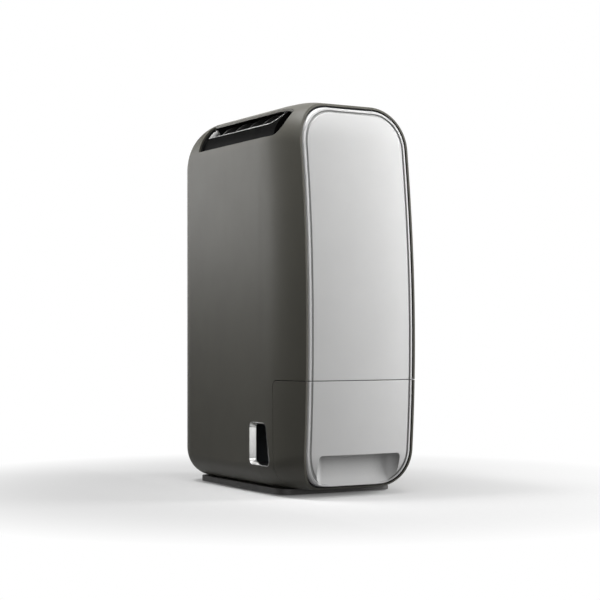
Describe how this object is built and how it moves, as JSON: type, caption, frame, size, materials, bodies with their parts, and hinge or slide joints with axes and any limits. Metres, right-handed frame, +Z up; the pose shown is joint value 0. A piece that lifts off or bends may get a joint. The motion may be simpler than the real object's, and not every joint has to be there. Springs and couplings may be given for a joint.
{
  "type": "dehumidifier",
  "caption": "Slim upright desiccant dehumidifier with a dark wrap casing, convex white front, pull-out water tank, shoulder air outlet with a visor flap, and side filter.",
  "frame": {"origin": "centre of the bounding box on the floor, under the rubber feet", "axes": "+Z up, -Y out of the white front, -X out of the side with the air outlet and water window"},
  "size_m": [0.1844, 0.322, 0.4741],
  "materials": {
    "shell_dark": "dark warm grey satin moulding",
    "panel_white": "satin white moulding",
    "window_trim": "dark bright reveal",
    "black_gloss": "gloss black moulding",
    "black_plastic": "black moulding",
    "grey_plastic": "grey moulding",
    "white_plastic": "white moulding",
    "clear_plastic": "clear smoke moulding",
    "mesh_fabric": "fine filter mesh",
    "zeolite": "coated honeycomb",
    "steel": "plain steel",
    "mica": "mica sheet",
    "board_green": "circuit board",
    "board_black": "moulded components",
    "foot_rubber": "soft rubber"
  },
  "bodies": {
    "housing": {"left_shell": "shell_dark", "right_shell": "shell_dark", "plinth": "shell_dark", "front_panel": "panel_white", "window_frame": "window_trim", "control_panel": "black_gloss", "outlet_duct": "black_plastic", "outlet_vanes": "black_plastic", "front_frame": "black_plastic", "filter_seat": "black_plastic", "cord_gland": "black_plastic", "level_switch": "black_plastic", "fan_scroll": "black_plastic", "fan_cover": "black_plastic", "drip_deck": "grey_plastic", "rear_wall": "grey_plastic", "rotor_housing": "grey_plastic", "regen_scroll": "grey_plastic", "humidity_sensor": "grey_plastic", "condenser_headers": "grey_plastic", "condenser_tubes": "grey_plastic", "indicator_lens": "clear_plastic", "rotor_axle": "steel", "rotor_motor": "steel", "regen_motor": "steel", "fan_motor": "steel", "flap_motor": "steel", "heater_box": "steel", "case_screws": "steel", "heater_fins": "mica", "power_board": "board_green", "key_board": "board_green", "board_parts": "board_black", "feet": "foot_rubber"},
    "tank": {"tank_wrap": "shell_dark", "tank_plate": "black_plastic", "tank_front": "panel_white", "tank_tub": "clear_plastic"},
    "float": {"tank_float": "white_plastic"},
    "outlet_flap": {"flap": "black_gloss"},
    "filter": {"intake_grille": "shell_dark", "filter_frame": "black_plastic", "filter_mesh": "mesh_fabric"},
    "rotor": {"desiccant_rotor": "zeolite", "rotor_gear": "white_plastic", "rotor_hub": "white_plastic"},
    "pinion": {"drive_pinion": "white_plastic"},
    "fan": {"fan_wheel": "white_plastic"},
    "regen_fan": {"regen_wheel": "white_plastic"},
    "power_key": {"power_button": "white_plastic"},
    "mode_key": {"mode_button": "white_plastic"},
    "timer_key": {"timer_button": "white_plastic"},
    "swing_key": {"swing_button": "white_plastic"}
  },
  "joints": [
    {"name": "tank_slide", "type": "slide", "parent": "housing", "child": "tank", "axis": [0, -1, 0], "range_m": [0, 0.2]},
    {"name": "float_hinge", "type": "hinge", "parent": "tank", "child": "float", "pos_m": [0, 0.0288, 0.1048], "axis": [-1, 0, 0], "range_deg": [0, 38]},
    {"name": "flap_hinge", "type": "hinge", "parent": "housing", "child": "outlet_flap", "pos_m": [-0.042, 0, 0.424], "axis": [0, 1, 0], "range_deg": [-5, 28]},
    {"name": "filter_pull", "type": "slide", "parent": "housing", "child": "filter", "axis": [1, 0, 0], "range_m": [0, 0.06]},
    {"name": "rotor_turn", "type": "hinge", "parent": "housing", "child": "rotor", "pos_m": [0.029, 0.02, 0.29], "axis": [1, 0, 0], "continuous": true},
    {"name": "pinion_turn", "type": "hinge", "parent": "housing", "child": "pinion", "pos_m": [0.029, 0.10485, 0.20515], "axis": [1, 0, 0], "continuous": true},
    {"name": "fan_turn", "type": "hinge", "parent": "housing", "child": "fan", "pos_m": [-0.06, 0, 0.285], "axis": [1, 0, 0], "continuous": true},
    {"name": "regen_turn", "type": "hinge", "parent": "housing", "child": "regen_fan", "pos_m": [0, 0.107, 0.356], "axis": [1, 0, 0], "continuous": true},
    {"name": "power_press", "type": "slide", "parent": "housing", "child": "power_key", "axis": [0, 0, -1], "range_m": [0, 0.0012], "stiffness_N_per_m": 400},
    {"name": "mode_press", "type": "slide", "parent": "housing", "child": "mode_key", "axis": [0, 0, -1], "range_m": [0, 0.0012], "stiffness_N_per_m": 400},
    {"name": "timer_press", "type": "slide", "parent": "housing", "child": "timer_key", "axis": [0, 0, -1], "range_m": [0, 0.0012], "stiffness_N_per_m": 400},
    {"name": "swing_press", "type": "slide", "parent": "housing", "child": "swing_key", "axis": [0, 0, -1], "range_m": [0, 0.0012], "stiffness_N_per_m": 400}
  ],
  "couplings": [
    {"joint": "pinion_turn", "follows": "rotor_turn", "ratio": -5}
  ]
}
